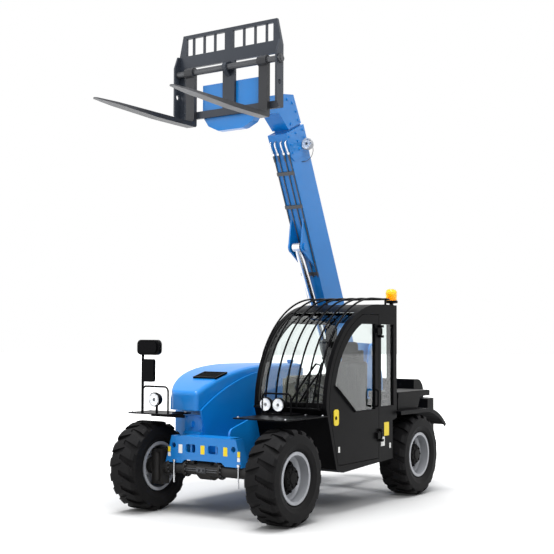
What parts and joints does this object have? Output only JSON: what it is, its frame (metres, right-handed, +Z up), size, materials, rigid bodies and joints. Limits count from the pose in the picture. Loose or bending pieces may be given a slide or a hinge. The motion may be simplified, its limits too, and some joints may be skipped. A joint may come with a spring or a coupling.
{
  "type": "compact telehandler",
  "caption": "Compact telescopic handler with a raised boom and pallet forks, an enclosed cab beside the boom, a sloping hood and steered wheels front and rear.",
  "frame": {"origin": "on the ground below the middle of the outline", "axes": "+X forward along the forks, +Y to the machine's left, +Z up"},
  "size_m": [4.4094, 1.835, 4.5805],
  "materials": {
    "blue_paint": "gloss",
    "black_paint": "satin",
    "bright_steel": "polished",
    "grey_paint": "satin",
    "rim_paint": "satin",
    "tyre_rubber": "matte",
    "clear_glass": "clear",
    "seat_cover": "matte",
    "cab_trim": "matte",
    "yellow_plastic": "satin"
  },
  "bodies": {
    "chassis": {"chassis_frame": "blue_paint", "front_bumper": "blue_paint", "front_shield": "blue_paint", "counterweight": "blue_paint", "boom_pivot_pin": "bright_steel", "front_axle": "grey_paint", "rear_axle": "grey_paint", "engine_bay": "blue_paint", "engine": "grey_paint", "cab_shell": "black_paint", "cab_roof": "black_paint", "windscreen": "clear_glass", "cab_glass": "clear_glass", "windscreen_guard": "black_paint", "seat": "seat_cover", "dash": "cab_trim", "steering_wheel": "cab_trim", "front_lamps": "black_paint", "front_fender": "black_paint", "mirrors": "black_paint", "rear_fenders": "grey_paint", "tank_box": "black_paint", "beacon": "black_paint"},
    "door": {"door": "black_paint", "door_glass": "clear_glass"},
    "hood": {"hood": "blue_paint", "hood_vent": "black_paint"},
    "boom": {"boom_outer": "blue_paint", "boom_tubes": "bright_steel", "boom_lamp": "black_paint"},
    "boom_extension": {"boom_inner": "blue_paint", "head_lamp": "yellow_plastic"},
    "head_pin": {"head_pin": "bright_steel"},
    "carriage": {"coupler": "blue_paint", "fork_carriage": "grey_paint", "fork_shaft": "bright_steel", "fork_left": "grey_paint", "fork_right": "grey_paint"},
    "lift_barrel": {"lift_barrel": "bright_steel"},
    "lift_rod": {"lift_rod": "bright_steel"},
    "steer_front_left": {"knuckle_front_left": "grey_paint"},
    "wheel_front_left": {"rim_front_left": "rim_paint", "tyre_front_left": "tyre_rubber"},
    "steer_front_right": {"knuckle_front_right": "grey_paint"},
    "wheel_front_right": {"rim_front_right": "rim_paint", "tyre_front_right": "tyre_rubber"},
    "steer_rear_left": {"knuckle_rear_left": "grey_paint"},
    "wheel_rear_left": {"rim_rear_left": "rim_paint", "tyre_rear_left": "tyre_rubber"},
    "steer_rear_right": {"knuckle_rear_right": "grey_paint"},
    "wheel_rear_right": {"rim_rear_right": "rim_paint", "tyre_rear_right": "tyre_rubber"}
  },
  "joints": [
    {"name": "boom_lift", "type": "hinge", "parent": "chassis", "child": "boom", "pos_m": [-1.7447, -0.1, 1.46], "axis": [0, -1, 0], "range_deg": [-65.7, 3]},
    {"name": "boom_extend", "type": "slide", "parent": "boom", "child": "boom_extension", "axis": [0.4226, 0, 0.9063], "range_m": [0, 2.1]},
    {"name": "head_level", "type": "hinge", "parent": "boom_extension", "child": "head_pin", "pos_m": [0.5897, -0.1, 3.8515], "axis": [0, -1, 0], "range_deg": [-3.5, 66]},
    {"name": "fork_tilt", "type": "hinge", "parent": "head_pin", "child": "carriage", "pos_m": [0.5897, -0.1, 3.8515], "axis": [0, 1, 0], "range_deg": [-18, 55]},
    {"name": "lift_barrel_swing", "type": "hinge", "parent": "chassis", "child": "lift_barrel", "pos_m": [-1.4547, -0.1, 0.6], "axis": [0, -1, 0], "range_deg": [-59, 3.5]},
    {"name": "lift_rod_slide", "type": "slide", "parent": "lift_barrel", "child": "lift_rod", "axis": [0.4722, 0, 0.8815], "range_m": [-0.98, 0.05]},
    {"name": "door_hinge", "type": "hinge", "parent": "chassis", "child": "door", "pos_m": [-0.4077, 0.875, 1.2], "axis": [0, 0, 1], "range_deg": [0, 110]},
    {"name": "hood_hinge", "type": "hinge", "parent": "chassis", "child": "hood", "pos_m": [-0.6987, -0.6, 1.372], "axis": [0, -1, 0], "range_deg": [0, 50]},
    {"name": "steer_front_left", "type": "hinge", "parent": "chassis", "child": "steer_front_left", "pos_m": [1.1553, 0.665, 0.4155], "axis": [0, 0, 1], "range_deg": [-35, 35]},
    {"name": "roll_front_left", "type": "hinge", "parent": "steer_front_left", "child": "wheel_front_left", "pos_m": [1.1553, 0.765, 0.4155], "axis": [0, 1, 0], "continuous": true},
    {"name": "steer_front_right", "type": "hinge", "parent": "chassis", "child": "steer_front_right", "pos_m": [1.1553, -0.665, 0.4155], "axis": [0, 0, 1], "range_deg": [-35, 35]},
    {"name": "roll_front_right", "type": "hinge", "parent": "steer_front_right", "child": "wheel_front_right", "pos_m": [1.1553, -0.765, 0.4155], "axis": [0, 1, 0], "continuous": true},
    {"name": "steer_rear_left", "type": "hinge", "parent": "chassis", "child": "steer_rear_left", "pos_m": [-1.2047, 0.665, 0.4155], "axis": [0, 0, -1], "range_deg": [-35, 35]},
    {"name": "roll_rear_left", "type": "hinge", "parent": "steer_rear_left", "child": "wheel_rear_left", "pos_m": [-1.2047, 0.765, 0.4155], "axis": [0, 1, 0], "continuous": true},
    {"name": "steer_rear_right", "type": "hinge", "parent": "chassis", "child": "steer_rear_right", "pos_m": [-1.2047, -0.665, 0.4155], "axis": [0, 0, -1], "range_deg": [-35, 35]},
    {"name": "roll_rear_right", "type": "hinge", "parent": "steer_rear_right", "child": "wheel_rear_right", "pos_m": [-1.2047, -0.765, 0.4155], "axis": [0, 1, 0], "continuous": true}
  ],
  "couplings": [
    {"joint": "head_level", "follows": "boom_lift", "ratio": -1},
    {"joint": "lift_barrel_swing", "follows": "boom_lift", "ratio": 0.8788},
    {"joint": "lift_rod_slide", "follows": "boom_lift", "m_per_rad": 0.834},
    {"joint": "steer_front_right", "follows": "steer_front_left", "ratio": 1},
    {"joint": "steer_rear_right", "follows": "steer_rear_left", "ratio": 1}
  ]
}
